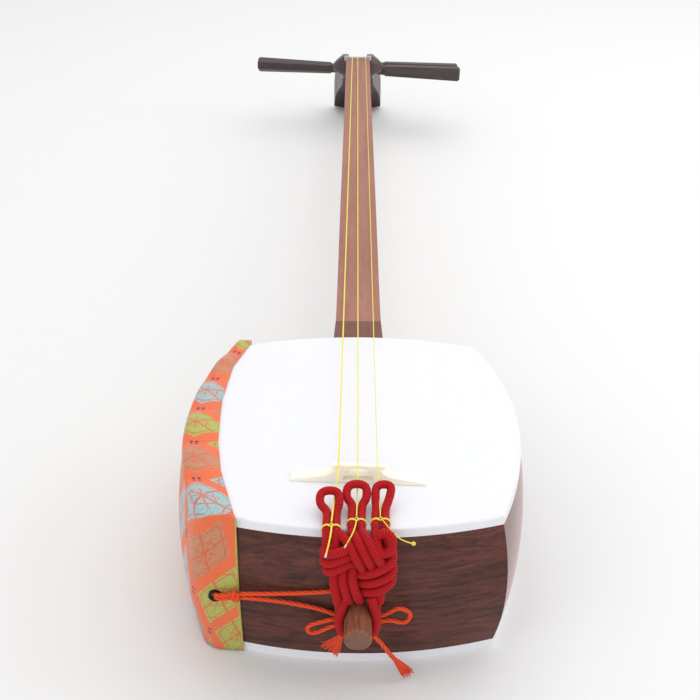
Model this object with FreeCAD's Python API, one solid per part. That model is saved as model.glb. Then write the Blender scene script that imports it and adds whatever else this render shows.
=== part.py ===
import FreeCAD, Part
import math
import os

os.makedirs("parts", exist_ok=True)
V = FreeCAD.Vector

# body (mm)
WIDTH = 184.6
LENGTH = 193.4
THICK = 92.0
CORNER_X = 74.8
CORNER_Y = 84.9
RIM = 5.6
BULGE = 4.1
WALL = 9.0
SKIN = 0.6
SKIN_BEND = 1.2

# neck
BOARD_Z = 95.6
NECK_JOINT_1 = 303.0
NECK_JOINT_2 = 510.0
NECK_END = 724.0
NECK_ROUND = 13.0
TENON = (10.0, 24.0, 12.0)
DOWEL_R = 7.1
DOWEL_Z = 46.0
DOWEL_END = -128.0
TONGUE_W = 18.0
TONGUE_H = 20.0

# nut and head
NUT_Y = 722.0
NUT_TOP = 97.6
SLOT_HALF = 10.5
SLOT_START = 725.5
SLOT_END = 797.0
HEAD_SPLIT = 803.0

# pegs
JOURNAL_R = 4.8
PEG_FIT = 0.05
PEG_SLANT = 5.0
PEG_TILT = 1.1
HANDLE_START = 32.0
HANDLE_END = 119.0
HANDLE_NEAR = 13.4
HANDLE_FAR = 17.0
WINDING_R = 6.2
# name, side, y, z, x of the string turns
PEGS = [
    ("1", 1, 751.0, 75.0, -5.5),
    ("2", 1, 785.0, 69.0, 0.0),
    ("3", -1, 768.0, 69.8, 6.0),
]

# strings: name, diameter, x at tie, x on the bridge, x on the nut, y where the tie takes over
STRINGS = [
    ("1", 0.9, -13.6, -10.5, -6.3, -96.6),
    ("2", 0.7, -1.0, -0.3, -0.2, -92.2),
    ("3", 0.55, 11.0, 10.0, 8.7, -92.2),
]
STRING_TIE_Z = 96.8
BRIDGE_Y = -54.8
BRIDGE_CREST_Y = -56.9
STRING_BRIDGE_Z = 102.3
STRING_NUT_Z = 98.3

# bridge
BRIDGE_FOOT_Z = 92.1
BRIDGE_H = 9.2
BRIDGE_DEPTH = 8.5
BRIDGE_TURN = -2.8

# red tailpiece
NEO_D = 4.3
NEO_Z = 94.3
COLLAR_D = 4.3
COLLAR_Y = (-108.4, -112.8)
KNOT_BACK = -103.6
KNOT_FRONT = -112.0
KNOT_LOW = 50.0
KNOT_TOP = 86.0
KNOT_HALF = 18.0

# orange cord
CORD_D = 2.2


def save(name, shape):
    shape.exportStep("parts/" + name + ".step")
    print(name, "solids", len(shape.Solids), "valid", shape.isValid(), "volume", round(shape.Volume, 2))


def outline(off, z):
    hx = CORNER_X + off
    hy = CORNER_Y + off
    wx = WIDTH / 2 + off
    wy = LENGTH / 2 + off
    a = V(hx, -hy, z)
    b = V(hx, hy, z)
    c = V(-hx, hy, z)
    d = V(-hx, -hy, z)
    right = Part.Arc(a, V(wx, 0, z), b).toShape()
    far = Part.Arc(b, V(0, wy, z), c).toShape()
    left = Part.Arc(c, V(-wx, 0, z), d).toShape()
    near = Part.Arc(d, V(0, -wy, z), a).toShape()
    return Part.Wire([right, far, left, near])


def slab(off, z0, z1):
    return Part.Face(outline(off, z0)).extrude(V(0, 0, z1 - z0))


def bulge_at(z):
    t = (z - THICK / 2) / (THICK / 2 - RIM)
    return BULGE * (1 - t * t)


def bulged(off, z0, z1):
    wires = []
    steps = 8
    for i in range(steps + 1):
        z = z0 + (z1 - z0) * i / steps
        wires.append(outline(max(bulge_at(z), 0.0) + off, z))
    return Part.makeLoft(wires, True, False)


def prism(points, z0, z1):
    pts = [V(x, y, z0) for x, y in points]
    return Part.Face(Part.makePolygon(pts + [pts[0]])).extrude(V(0, 0, z1 - z0))


def body_envelope():
    top = round_top(slab(0, THICK - RIM, THICK), THICK, SKIN_BEND)
    low = slab(0, 0, RIM)
    return bulged(0, RIM, THICK - RIM).fuse([top, low])


def round_top(solid, z, radius):
    edges = [e for e in solid.Edges if abs(e.BoundBox.ZMin - z) < 1e-4 and abs(e.BoundBox.ZMax - z) < 1e-4]
    return solid.makeFillet(radius, edges)


def wood_ring():
    mid = bulged(0, RIM, THICK - RIM)
    top = slab(-SKIN, THICK - RIM, THICK - SKIN)
    low = slab(-SKIN, SKIN, RIM)
    return mid.fuse([top, low]).cut(slab(-WALL, -1, THICK + 1))


def side_panels():
    ring = wood_ring()
    k = CORNER_Y - CORNER_X
    far = 220.0
    wedges = {
        "side_right": [(-k, 0), (far - k, -far), (far - k, far)],
        "side_left": [(k, 0), (k - far, far), (k - far, -far)],
        "side_head": [(0, k), (far, far + k), (-far, far + k)],
        "side_tail": [(0, -k), (-far, -far - k), (far, -far - k)],
    }
    out = {}
    for name, pts in wedges.items():
        out[name] = ring.common(prism(pts, -5, THICK + 5))
    # the four mitres meet along the diagonals through the corners
    bar = Part.makeBox(TONGUE_W, 60, TONGUE_H, V(-TONGUE_W / 2, 60, DOWEL_Z - TONGUE_H / 2))
    out["side_head"] = out["side_head"].cut(bar)
    rod = Part.makeCylinder(DOWEL_R, 60, V(0, -60, DOWEL_Z), V(0, -1, 0))
    out["side_tail"] = out["side_tail"].cut(rod)
    return out


def skin_front():
    outer = round_top(slab(0, THICK - RIM, THICK), THICK, SKIN_BEND)
    return outer.cut(slab(-SKIN, THICK - RIM - 1, THICK - SKIN))


def skin_back():
    return slab(0, 0, RIM).cut(slab(-SKIN, SKIN, RIM + 1))


def neck_section(y, width, top, bottom):
    h = width / 2
    zs = bottom + NECK_ROUND
    a = V(-h, y, top)
    b = V(h, y, top)
    c = V(h, y, zs)
    d = V(-h, y, zs)
    arc = Part.Arc(c, V(0, y, bottom), d).toShape()
    return Part.Wire([Part.makeLine(a, b), Part.makeLine(b, c), arc, Part.makeLine(d, a)])


def neck_width(y):
    table = [(97, 32.3), (111, 29.8), (222, 29.0), (357, 28.7), (513, 27.3), (724, 26.4)]
    for (y0, w0), (y1, w1) in zip(table, table[1:]):
        if y <= y1:
            return w0 + (w1 - w0) * (y - y0) / (y1 - y0)
    return table[-1][1]


def neck_run(y0, y1):
    low = BOARD_Z - 25.0
    sections = [neck_section(y, neck_width(y), BOARD_Z, low) for y in (y0, y1)]
    return Part.makeLoft(sections, True, True)


def tenon_box(y):
    w, length, h = TENON
    return Part.makeBox(w, length, h, V(-w / 2, y - length, 77.0))


def neck_lower(body):
    stations = [
        (90.0, 32.4, 88.0, 28.0),
        (97.0, 32.3, 90.0, 28.0),
        (111.0, 29.8, BOARD_Z, 34.0),
        (120.0, 29.6, BOARD_Z, 46.0),
        (130.0, 29.5, BOARD_Z, 57.0),
        (145.0, 29.4, BOARD_Z, 65.0),
        (170.0, 29.3, BOARD_Z, 70.6),
        (NECK_JOINT_1, neck_width(NECK_JOINT_1), BOARD_Z, 70.6),
    ]
    solid = Part.makeLoft([neck_section(*s) for s in stations], True, True)
    solid = solid.cut(body)
    solid = solid.cut(tongue())
    return solid.cut(tenon_box(NECK_JOINT_1))


def neck_middle():
    run = neck_run(NECK_JOINT_1, NECK_JOINT_2).fuse(tenon_box(NECK_JOINT_1))
    return run.cut(tenon_box(NECK_JOINT_2))


def neck_upper():
    return neck_run(NECK_JOINT_2, NECK_END).fuse(tenon_box(NECK_JOINT_2))


def tongue():
    # square bar through the body, turned round where it leaves the tail
    y0 = -86.5
    bar = Part.makeBox(TONGUE_W, 108.0 - y0, TONGUE_H, V(-TONGUE_W / 2, y0, DOWEL_Z - TONGUE_H / 2))
    chamfer = 1.5
    rod = Part.makeCylinder(DOWEL_R, y0 - DOWEL_END - chamfer, V(0, y0, DOWEL_Z), V(0, -1, 0))
    tip = Part.makeCone(DOWEL_R, DOWEL_R - chamfer, chamfer, V(0, DOWEL_END + chamfer, DOWEL_Z), V(0, -1, 0))
    return bar.fuse([rod, tip])


def nut(neck):
    w = 26.4
    y = NUT_Y - 2.2
    bar = Part.makeBox(w, 2.8, NUT_TOP - BOARD_Z, V(-w / 2, y, BOARD_Z))
    ends = []
    for x in (-15.4, 9.4):
        end = Part.makeBox(6.0, 2.8, 4.8, V(x, y, 93.8))
        edges = [e for e in end.Edges if e.BoundBox.YLength > 2]
        ends.append(end.makeFillet(1.3, edges).cut(neck))
    return bar.fuse(ends)


def spline(points):
    curve = Part.BSplineCurve()
    curve.interpolate(points)
    return curve.toShape()


def head_whole():
    top = [(724, 95.6), (731, 96.4), (739, 95.6), (750, 92.6), (766, 87), (787, 78), (803, 66), (818, 50),
           (830, 33), (838, 16), (841, 3)]
    under = [(834, 0), (826, 9), (815, 21), (803, 31), (785, 44), (766, 55), (750, 62), (736, 68), (724, 70.6)]
    a = spline([V(-60, y, z) for y, z in top])
    b = spline([V(-60, y, z) for y, z in under])
    tip = Part.makeLine(V(-60, 841, 3), V(-60, 834, 0))
    start = Part.makeLine(V(-60, 724, 70.6), V(-60, 724, 95.6))
    side = Part.Face(Part.Wire([a, tip, b, start])).extrude(V(120, 0, 0))
    half = [(13.2, 724), (17.0, 728), (18.2, 736), (18.2, 770), (19.5, 785), (23.5, 798), (27, 812), (29, 828),
            (29.5, 842)]
    right = Part.makePolygon([V(x, y, -10) for x, y in half])
    left = Part.makePolygon([V(-x, y, -10) for x, y in half])
    far = Part.makeLine(V(29.5, 842, -10), V(-29.5, 842, -10))
    near = Part.makeLine(V(-13.2, 724, -10), V(13.2, 724, -10))
    edges = right.Edges + [far] + left.Edges + [near]
    plan = Part.Face(Part.Wire(Part.__sortEdges__(edges))).extrude(V(0, 0, 120))
    solid = side.common(plan)
    # the foot of the head is rounded across, lowest in the middle
    drum = Part.makeCylinder(112.0, 140, V(0, 715, 112.0), V(0, 1, 0))
    return solid.common(drum).fuse([shoulder(1), shoulder(-1)])


def shoulder(side):
    # distance out, y from and to, z from and to
    table = [(13.0, 724.4, 750.0, 71.5, 95.6), (17.5, 725.0, 748.5, 73.0, 94.6), (22.0, 727.5, 745.5, 75.0, 91.6),
             (26.0, 730.5, 742.0, 77.0, 88.0), (28.6, 733.4, 739.4, 79.4, 84.6)]
    wires = []
    for x, y0, y1, z0, z1 in table:
        y, z, a, b = (y0 + y1) / 2, (z0 + z1) / 2, (y1 - y0) / 2, (z1 - z0) / 2
        ring = []
        for i in range(12):
            c, w = math.cos(math.radians(30 * i)), math.sin(math.radians(30 * i))
            ring.append(V(side * x, y + a * math.copysign(abs(c) ** 0.7, c), z + b * math.copysign(abs(w) ** 0.7, w)))
        curve = Part.BSplineCurve()
        curve.interpolate(ring, PeriodicFlag=True)
        wires.append(Part.Wire([curve.toShape()]))
    return Part.makeLoft(wires, True, False)


def peg_direction(side):
    a = math.radians(PEG_SLANT)
    b = math.radians(PEG_TILT)
    u = V(math.cos(a), -math.sin(a), -math.sin(b))
    u.normalize()
    return u.multiply(side)


def place(shape, side, y, z):
    shape.Placement = FreeCAD.Placement(V(0, y, z), FreeCAD.Rotation(V(1, 0, 0), peg_direction(side)))
    return shape


def head_block():
    head = head_whole().common(Part.makeBox(140, HEAD_SPLIT - 700, 140, V(-70, 700, -5)))
    slot = Part.makeBox(2 * SLOT_HALF, SLOT_END - SLOT_START, 140, V(-SLOT_HALF, SLOT_START, -10))
    head = head.cut(slot)
    for name, side, y, z, sx in PEGS:
        bore = Part.makeCylinder(JOURNAL_R + PEG_FIT, 100, V(-50, 0, 0), V(1, 0, 0))
        head = head.cut(place(bore, side, y, z))
    return head


def head_tip():
    return head_whole().common(Part.makeBox(140, 80, 140, V(-70, HEAD_SPLIT, -5)))


def hexagon(x, across):
    r = across / 2
    pts = [V(x, r * math.cos(math.radians(60 * i)), r * math.sin(math.radians(60 * i))) for i in range(6)]
    return Part.makePolygon(pts + [pts[0]])


def peg(side, y, z):
    shaft = Part.makeCylinder(JOURNAL_R, 41.0, V(-21.0, 0, 0), V(1, 0, 0))
    shoulder = Part.makeCone(JOURNAL_R, 5.6, HANDLE_START - 20.0, V(20.0, 0, 0), V(1, 0, 0))
    grip = Part.makeLoft([hexagon(HANDLE_START, HANDLE_NEAR), hexagon(HANDLE_END - 2, HANDLE_FAR)], True, True)
    end = Part.makeLoft([hexagon(HANDLE_END - 2, HANDLE_FAR), hexagon(HANDLE_END, HANDLE_FAR - 4)], True, True)
    return place(shaft.fuse([shoulder, grip, end]), side, y, z)


def winding(side, y, z, sx):
    local = sx * side
    ring = Part.makeCylinder(WINDING_R, 4.4, V(local - 2.2, 0, 0), V(1, 0, 0))
    ring = ring.cut(Part.makeCylinder(JOURNAL_R, 6, V(local - 3, 0, 0), V(1, 0, 0)))
    return place(ring, side, y, z)


def tube(name, points, d, cap=None):
    pts = [V(*p) for p in points]
    edges = []
    radii = []
    start = pts[0]
    for i in range(1, len(pts) - 1):
        a = pts[i] - pts[i - 1]
        b = pts[i + 1] - pts[i]
        la = a.Length
        lb = b.Length
        a.normalize()
        b.normalize()
        turn = a.getAngle(b)
        reach = 0.45 * min(la, lb)
        radius = reach / math.tan(turn / 2)
        if cap is not None and radius > cap:
            radius = cap
            reach = radius * math.tan(turn / 2)
        radii.append(round(radius, 2))
        p = pts[i] - a * reach
        q = pts[i] + b * reach
        inward = b - a
        inward.normalize()
        m = pts[i] + inward * (radius / math.cos(turn / 2) - radius)
        edges.append(Part.LineSegment(start, p).toShape())
        edges.append(Part.Arc(p, m, q).toShape())
        start = q
    edges.append(Part.LineSegment(start, pts[-1]).toShape())
    wire = Part.Wire(edges)
    direction = pts[1] - pts[0]
    ring = Part.Wire([Part.Circle(pts[0], direction, d / 2).toShape()])
    pipe = wire.makePipeShell([ring], True, False)
    ideal = math.pi * d * d / 4 * wire.Length
    print("  tube", name, "radii", radii, "length", round(wire.Length, 1), "vol ratio", round(pipe.Volume / ideal, 4))
    return pipe


def string_path(name, row):
    n, d, xt, xb, xn, yt = row
    peg_row = [p for p in PEGS if p[0] == name][0]
    _, side, py, pz, sx = peg_row
    u = peg_direction(side)
    py = py + u.y / u.x * sx
    pz = pz + u.z / u.x * sx
    top = pz + WINDING_R + 0.3 + d / 2
    return [
        (xt, yt, STRING_TIE_Z),
        (xb, BRIDGE_CREST_Y, STRING_BRIDGE_Z),
        (xn, NUT_Y, STRING_NUT_Z),
        (sx, py, top),
    ]


def band(cx, half, y0, y1, r):
    left = Part.makeCylinder(r, y1 - y0, V(cx - half, y0, NEO_Z), V(0, 1, 0))
    right = Part.makeCylinder(r, y1 - y0, V(cx + half, y0, NEO_Z), V(0, 1, 0))
    box = Part.makeBox(2 * half, y1 - y0, 2 * r, V(cx - half, y0, NEO_Z - r))
    return left.fuse([right, box])


# middle of the two legs, half their spacing, y of the tie, the loose tail
TIES = {
    "1": (-13.6, 2.4, -98.4, [(-13.4, -99.6, 97.2), (-13.4, -104.6, 98.2), (-14.6, -109.8, 93.6),
                              (-16.3, -112.0, 87.2)]),
    "2": (-1.0, 2.4, -94.0, [(-1.0, -95.2, 97.2), (-1.6, -102.6, 98.2), (-4.6, -108.0, 94.8), (-8.8, -110.6, 88.2)]),
    "3": (11.0, 2.7, -94.0, [(12.0, -95.2, 97.2), (15.8, -103.2, 97.4), (21.4, -107.8, 94.2), (27.0, -108.6, 93.4)]),
}


def string_tie(name, loop):
    cx, half, y, path = TIES[name]
    hold = band(cx, half, y - 1.6, y + 1.6, NEO_D / 2 + 0.85)
    hold = hold.cut(loop)
    # flattened where it lies on the skin
    hold = hold.common(Part.makeBox(60, 20, 20, V(cx - 30, -104, THICK)))
    row = [r for r in STRINGS if r[0] == name][0]
    tail = tube("string_tail_" + name, path, row[1])
    return hold.fuse(tail)


# x of the two legs, x of the two sides, y of the bend over the rim, y where the legs part, y and z of the top
LOOPS = {
    "neo_loop_left": (-16.0, -11.2, -19.6, -9.7, -102.8, -92.0, -76.2, 101.9),
    "neo_loop_middle": (-3.4, 1.4, -5.0, 3.5, -100.2, -88.0, -71.4, 102.6),
    "neo_loop_right": (8.3, 13.7, 8.9, 16.7, -100.2, -88.0, -71.4, 102.6),
}


def neo_loop(name):
    xa, xb, sa, sb, bend, waist, top, z = LOOPS[name]
    half_z = NEO_Z + 0.42 * (z - NEO_Z)
    half_y = waist + 0.42 * (top - waist)
    pts = [
        (xa, bend - 5.7, 84.0),
        (xa, bend, NEO_Z),
        (xa, waist, NEO_Z + 0.4),
        (sa, half_y, half_z),
        (sa + 0.2, top, z),
        (sb - 0.2, top, z),
        (sb, half_y, half_z),
        (xb, waist, NEO_Z + 0.4),
        (xb, bend, NEO_Z),
        (xb, bend - 5.7, 84.0),
    ]
    return tube(name, pts, NEO_D)


def neo_knot():
    box = Part.makeBox(2 * KNOT_HALF, KNOT_BACK - KNOT_FRONT, KNOT_TOP - KNOT_LOW,
                       V(-KNOT_HALF, KNOT_FRONT, KNOT_LOW))
    box = box.makeFillet(3.4, box.Edges)
    # hollowed where it sits on the dowel
    return box.cut(Part.makeCylinder(DOWEL_R + 0.1, 60, V(0, -90, DOWEL_Z), V(0, -1, 0)))


def neo_collar(y):
    pts = [(-10.0, y, 54.0), (-9.6, y, 36.4), (9.6, y, 36.4), (10.0, y, 54.0)]
    return tube("neo_collar", pts, COLLAR_D)


def cover_wire(off, z):
    # the cover stands clear of the side and goes round the tail corner in a soft bend
    t = (74.8 - 60.0) / 74.8
    tail_y = -(LENGTH / 2 - (LENGTH / 2 - CORNER_Y) * (1 - t) ** 2 + off)
    e = V(-60.0, tail_y, z)
    d = V(-(CORNER_X + 5.6 + off), -(CORNER_Y + 2.4 + off), z)
    c = V(-(CORNER_X + 1.4 + off), CORNER_Y + 0.6 + off, z)
    m = V(-(WIDTH / 2 + 5.4 + off), -4.0, z)
    f = V(-60.0, -tail_y, z)
    side = Part.Arc(d, m, c).toShape()
    p = e + (d - e) * 0.62
    q = side.valueAt(side.FirstParameter + (side.LastParameter - side.FirstParameter) * 0.05)
    mid = (p + q) * 0.22 + d * 0.56
    centre = (d + p + q) * (1 / 3.0)
    bend = Part.Arc(p, mid + (centre - mid) * 0.12, q).toShape()
    rest = Part.Arc(q, m, c).toShape()
    far = Part.makeLine(c, f)
    back = Part.makeLine(f, e)
    return Part.Wire([Part.makeLine(e, p), bend, rest, far, back])


def cover_solid(off):
    wires = []
    steps = 8
    for i in range(steps + 1):
        z = 4.7 + (THICK - RIM - 4.7) * i / steps
        wires.append(cover_wire(max(bulge_at(z), 0.0) + off, z))
    side = Part.makeLoft(wires, True, False)
    top = Part.Face(cover_wire(off, THICK - RIM)).extrude(V(0, 0, RIM + off))
    rim = [e for e in top.Edges if abs(e.BoundBox.ZMin - THICK - off) < 1e-4 and e.BoundBox.XMin < -61.0]
    top = top.makeFillet(3.0, rim)
    return side.fuse(top)


def cover_region():
    pts = [(-69.2, 87.3), (-78.1, 58.2), (-80.9, 21.8), (-80.5, 6.0), (-78.8, -22.2), (-74.5, -49.3),
           (-69.2, -67.8), (-64.2, -85.3), (-62.2, -90.8), (-62.2, -120.0), (-130.0, -120.0), (-130.0, 120.0),
           (-69.2, 120.0)]
    return prism(pts, 4.7, THICK + 4)


def eyelets():
    shapes = []
    hull = cover_solid(1.8)
    for way, start, length in ((-1, -86.0, 9.3), (1, 84.0, 8.4)):
        ring = Part.makeCylinder(3.6, length, V(-75.0, start, 45.0), V(0, way, 0))
        ring = ring.cut(Part.makeCylinder(2.0, length + 2, V(-75.0, start - way, 45.0), V(0, way, 0)))
        shapes.append(ring.cut(hull))
    return Part.makeCompound([s for c in shapes for s in c.Solids])


def ball(x, y, z, r):
    return Part.makeSphere(r, V(x, y, z))


def tassel(top, foot, r0, r1):
    a = V(*top)
    d = V(*foot) - a
    return Part.makeCone(r0, r1, d.Length, a, d)


CORDS = {
    "cord_upper": [(-62.0, -98.3, 49.8), (-38.0, -100.5, 52.0), (-13.0, -102.2, 55.4), (2.0, -102.1, 56.8),
                   (9.6, -102.3, 50.5), (9.4, -102.6, 41.0), (3.0, -103.2, 33.6)],
    "cord_lower": [(-62.0, -98.3, 47.3), (-48.0, -99.5, 47.2), (-30.0, -101.0, 45.2), (-13.4, -102.6, 41.6),
                   (-3.4, -103.3, 34.6)],
    "bow_loop_left": [(-2.6, -103.6, 32.6), (-12.0, -104.4, 38.4), (-20.4, -104.4, 36.2), (-27.0, -104.4, 33.6),
                      (-26.0, -104.6, 27.6), (-18.0, -104.8, 31.2), (-10.0, -104.9, 34.4), (-2.4, -104.2, 30.6)],
    "bow_loop_right": [(2.6, -103.6, 32.6), (11.0, -104.4, 38.6), (17.5, -104.4, 43.0), (27.2, -104.4, 42.6),
                       (27.0, -104.6, 33.6), (18.0, -104.8, 33.4), (11.0, -104.9, 35.2), (2.4, -104.2, 30.6)],
    "bow_tail_left": [(-1.6, -105.0, 30.2), (-5.0, -107.4, 30.0), (-8.0, -107.8, 30.4)],
    "bow_tail_right": [(1.6, -105.0, 30.0), (7.2, -107.4, 31.4), (13.0, -108.2, 24.4), (17.9, -108.5, 16.0)],
}


def bridge():
    h = BRIDGE_H
    right = [(36.2, 0), (36.2, 1.2), (27, 2.2), (17, 3.6), (13, 5.4), (11.4, 7.2), (15.0, 8.2), (13.4, h)]
    left = [(-x, z) for x, z in reversed(right)]
    pts = [V(x, -6, z) for x, z in right + left]
    solid = Part.Face(Part.makePolygon(pts + [pts[0]])).extrude(V(0, 12, 0))
    upper = [(-7.0, 4.9), (7.0, 4.9), (6.2, 6.7), (3.0, 7.5), (-3.0, 7.5), (-6.2, 6.7)]
    lower = [(-8.4, 1.5), (8.4, 1.5), (7.6, 3.9), (-7.6, 3.9)]
    for hole in (upper, lower):
        ring = [V(x, -8, z) for x, z in hole]
        solid = solid.cut(Part.Face(Part.makePolygon(ring + [ring[0]])).extrude(V(0, 16, 0)))
    d = BRIDGE_DEPTH / 2
    wedge = [V(-50, -d, 0), V(-50, d, 0), V(-50, 1.2, h), V(-50, -1.2, h)]
    solid = solid.common(Part.Face(Part.makePolygon(wedge + [wedge[0]])).extrude(V(100, 0, 0)))
    solid.Placement = FreeCAD.Placement(V(0, BRIDGE_Y, BRIDGE_FOOT_Z), FreeCAD.Rotation(V(0, 0, 1), BRIDGE_TURN))
    return solid


body = body_envelope()
panels = side_panels()
for panel_name, panel in panels.items():
    save(panel_name, panel)
save("skin_front", skin_front())
save("skin_back", skin_back())
save("neck_lower", neck_lower(body))
save("neck_middle", neck_middle())
save("neck_upper", neck_upper())
save("neck_tongue", tongue())
save("nut", nut(neck_upper()))
save("head_block", head_block())
save("head_tip", head_tip())
for peg_name, peg_side, peg_y, peg_z, turns_x in PEGS:
    save("peg_" + peg_name, peg(peg_side, peg_y, peg_z))
    save("winding_" + peg_name, winding(peg_side, peg_y, peg_z, turns_x))
strings = []
for string_row in STRINGS:
    line = tube("string_" + string_row[0], string_path(string_row[0], string_row), string_row[1], 4.5)
    strings.append(line)
    save("string_" + string_row[0], line)
knot = neo_knot()
save("neo_knot", knot)
for string_row, loop_name in zip(STRINGS, LOOPS):
    loop = neo_loop(loop_name).cut([knot] + strings)
    save(loop_name, loop)
    save("string_tie_" + string_row[0], string_tie(string_row[0], loop).cut(strings))
collars = [neo_collar(y).cut(knot) for y in COLLAR_Y]
collar = Part.makeCompound([s for c in collars for s in c.Solids])
save("neo_collar", collar)

region = cover_region()
board = cover_solid(1.3).cut(body).common(region)
cloth = cover_solid(1.8).cut(cover_solid(1.3)).cut(body).common(region)
save("arm_board", board)
save("arm_cloth", cloth)
save("eyelets", eyelets())

bow = ball(0.0, -103.4, 31.5, 2.9)
tie = ball(-63.0, -98.3, 48.5, 2.5)
pair = [tube("cord_pair_" + str(i), [(-75.0, -96.4, 46.6 + i), (-70.0, -97.6, 47.8 + i),
                                    (-65.0, -98.3, 49.4 + i)], CORD_D) for i in (0, -2.3)]
save("cord_knot", tie)
save("cord_pair", Part.makeCompound([p.cut(tie) for p in pair]))
save("bow_knot", bow)
tassels = {
    "tassel_left": tassel((-8.2, -107.8, 30.2), (-15.2, -108.6, 19.2), 1.6, 5.0),
    "tassel_right": tassel((18.2, -108.5, 15.6), (27.6, -109.6, 4.8), 1.6, 4.4),
}
laid = [bow, tie, collar, knot, tongue()] + list(tassels.values())
for cord_name, cord_points in CORDS.items():
    cord = tube(cord_name, cord_points, CORD_D).cut(laid)
    laid.append(cord)
    save(cord_name, cord)
for tassel_name, shape in tassels.items():
    save(tassel_name, shape)
save("bridge", bridge())
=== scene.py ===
import math
import random
from functools import partial

import bpy
from bpy.props import FloatProperty, FloatVectorProperty, IntProperty, PointerProperty
from bpy.types import Operator, Panel, PropertyGroup
from mathutils import Matrix, Vector


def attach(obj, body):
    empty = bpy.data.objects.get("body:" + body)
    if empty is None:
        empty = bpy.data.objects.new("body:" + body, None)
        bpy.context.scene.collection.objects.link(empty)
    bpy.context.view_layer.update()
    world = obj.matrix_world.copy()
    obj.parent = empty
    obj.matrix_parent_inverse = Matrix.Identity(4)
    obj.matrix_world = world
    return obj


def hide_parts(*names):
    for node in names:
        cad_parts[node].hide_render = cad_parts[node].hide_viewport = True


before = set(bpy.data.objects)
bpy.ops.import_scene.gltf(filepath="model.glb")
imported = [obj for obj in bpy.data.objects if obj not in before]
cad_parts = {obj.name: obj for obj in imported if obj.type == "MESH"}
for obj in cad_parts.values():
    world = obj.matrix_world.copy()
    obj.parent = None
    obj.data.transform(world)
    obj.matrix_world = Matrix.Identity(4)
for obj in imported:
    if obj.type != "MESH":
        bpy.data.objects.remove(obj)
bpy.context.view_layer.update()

bl_info = {
    "name": "Shamisen",
    "version": (1, 1, 0),
    "blender": (4, 5, 0),
    "location": "3D View > Sidebar > Shamisen",
    "description": "Gives a shamisen its woods, skins, brocade, silk strings and twisted cords",
    "category": "Object",
}


# ---------------------------------------------------------------- sizes and colours

def colour(name, text, value):
    return FloatVectorProperty(name=name, description=text, subtype="COLOR", size=3, min=0, max=1,
                               default=value)


def length(name, text, value):
    return FloatProperty(name=name, description=text, default=value, unit="LENGTH", precision=5)


class ShamisenSizes(PropertyGroup):
    cell_repeat: length("Cell repeat", "Distance between brocade cells along the cover", 0.0336)
    cell_rise: length("Cell rise", "Distance between brocade cells up the cover", 0.056)
    cell_start: length("Cell start", "Middle of the first blue cell, from the tail edge", 0.035)
    cloth_out: length("Cloth stand-off", "How far the cloth stands out from the cover's board line", 0.0018)
    pucker: length("Pucker", "Height of the soft puckers where the cloth turns over the top", 0.0032)
    red_cord: length("Tailpiece cord", "Thickness of the red cord", 0.0044)
    knot_cord: length("Knot cord", "Thickness of the red cord where it is drawn tight in the knot", 0.0048)
    orange_cord: length("Cover cord", "Thickness of the orange cord", 0.0022)
    tassel_threads: IntProperty(name="Tassel threads", description="Threads in each tassel",
                                default=130, min=10)
    turns: IntProperty(name="String turns", description="Turns of string on each peg", default=5, min=1)


class ShamisenColours(PropertyGroup):
    body_light: colour("Body light", "Light grain of the body", (0.150, 0.040, 0.027))
    body_dark: colour("Body dark", "Dark grain of the body", (0.042, 0.011, 0.008))
    neck_light: colour("Neck light", "Light grain of the neck", (0.400, 0.172, 0.122))
    neck_dark: colour("Neck dark", "Dark grain of the neck", (0.290, 0.112, 0.078))
    head_light: colour("Head light", "Light grain of the head", (0.060, 0.021, 0.016))
    head_dark: colour("Head dark", "Dark grain of the head", (0.022, 0.009, 0.008))
    peg_light: colour("Peg light", "Light grain of the pegs", (0.085, 0.044, 0.036))
    peg_dark: colour("Peg dark", "Dark grain of the pegs", (0.018, 0.013, 0.012))
    dowel_light: colour("Dowel light", "Light grain of the dowel", (0.360, 0.120, 0.062))
    dowel_dark: colour("Dowel dark", "Dark grain of the dowel", (0.120, 0.045, 0.030))
    skin: colour("Skin", "White skin", (0.80, 0.80, 0.84))
    ivory: colour("Bridge", "Pale bridge", (1.0, 0.93, 0.78))
    nut: colour("Nut", "Pale grey nut", (0.50, 0.50, 0.49))
    red: colour("Tailpiece", "Red cord", (0.60, 0.004, 0.009))
    orange: colour("Cover cord", "Orange cord", (0.95, 0.085, 0.018))
    string: colour("Strings", "Yellow silk", (0.93, 0.80, 0.10))
    ground: colour("Brocade ground", "Orange ground of the cloth", (0.76, 0.120, 0.030))
    salmon: colour("Brocade salmon", "Salmon cells", (0.66, 0.255, 0.130))
    blue: colour("Brocade blue", "Blue cells", (0.37, 0.58, 0.62))
    green: colour("Brocade green", "Green cells", (0.48, 0.52, 0.095))


# ---------------------------------------------------------------- shader nodes

def maths(tree, kind, a, b=None, c=None, clamp=False):
    n = tree.nodes.new("ShaderNodeMath")
    n.operation = kind
    n.use_clamp = clamp
    for socket, value in zip(n.inputs, (a, b, c)):
        if value is None:
            continue
        if isinstance(value, (int, float)):
            socket.default_value = value
        else:
            tree.links.new(value, socket)
    return n.outputs[0]


def blend_colour(tree, factor, a, b):
    n = tree.nodes.new("ShaderNodeMix")
    n.data_type = "RGBA"
    for socket, value in ((n.inputs[0], factor), (n.inputs[6], a), (n.inputs[7], b)):
        if isinstance(value, (int, float)):
            socket.default_value = value
        elif isinstance(value, tuple):
            socket.default_value = (*value, 1.0)
        else:
            tree.links.new(value, socket)
    return n.outputs[2]


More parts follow.
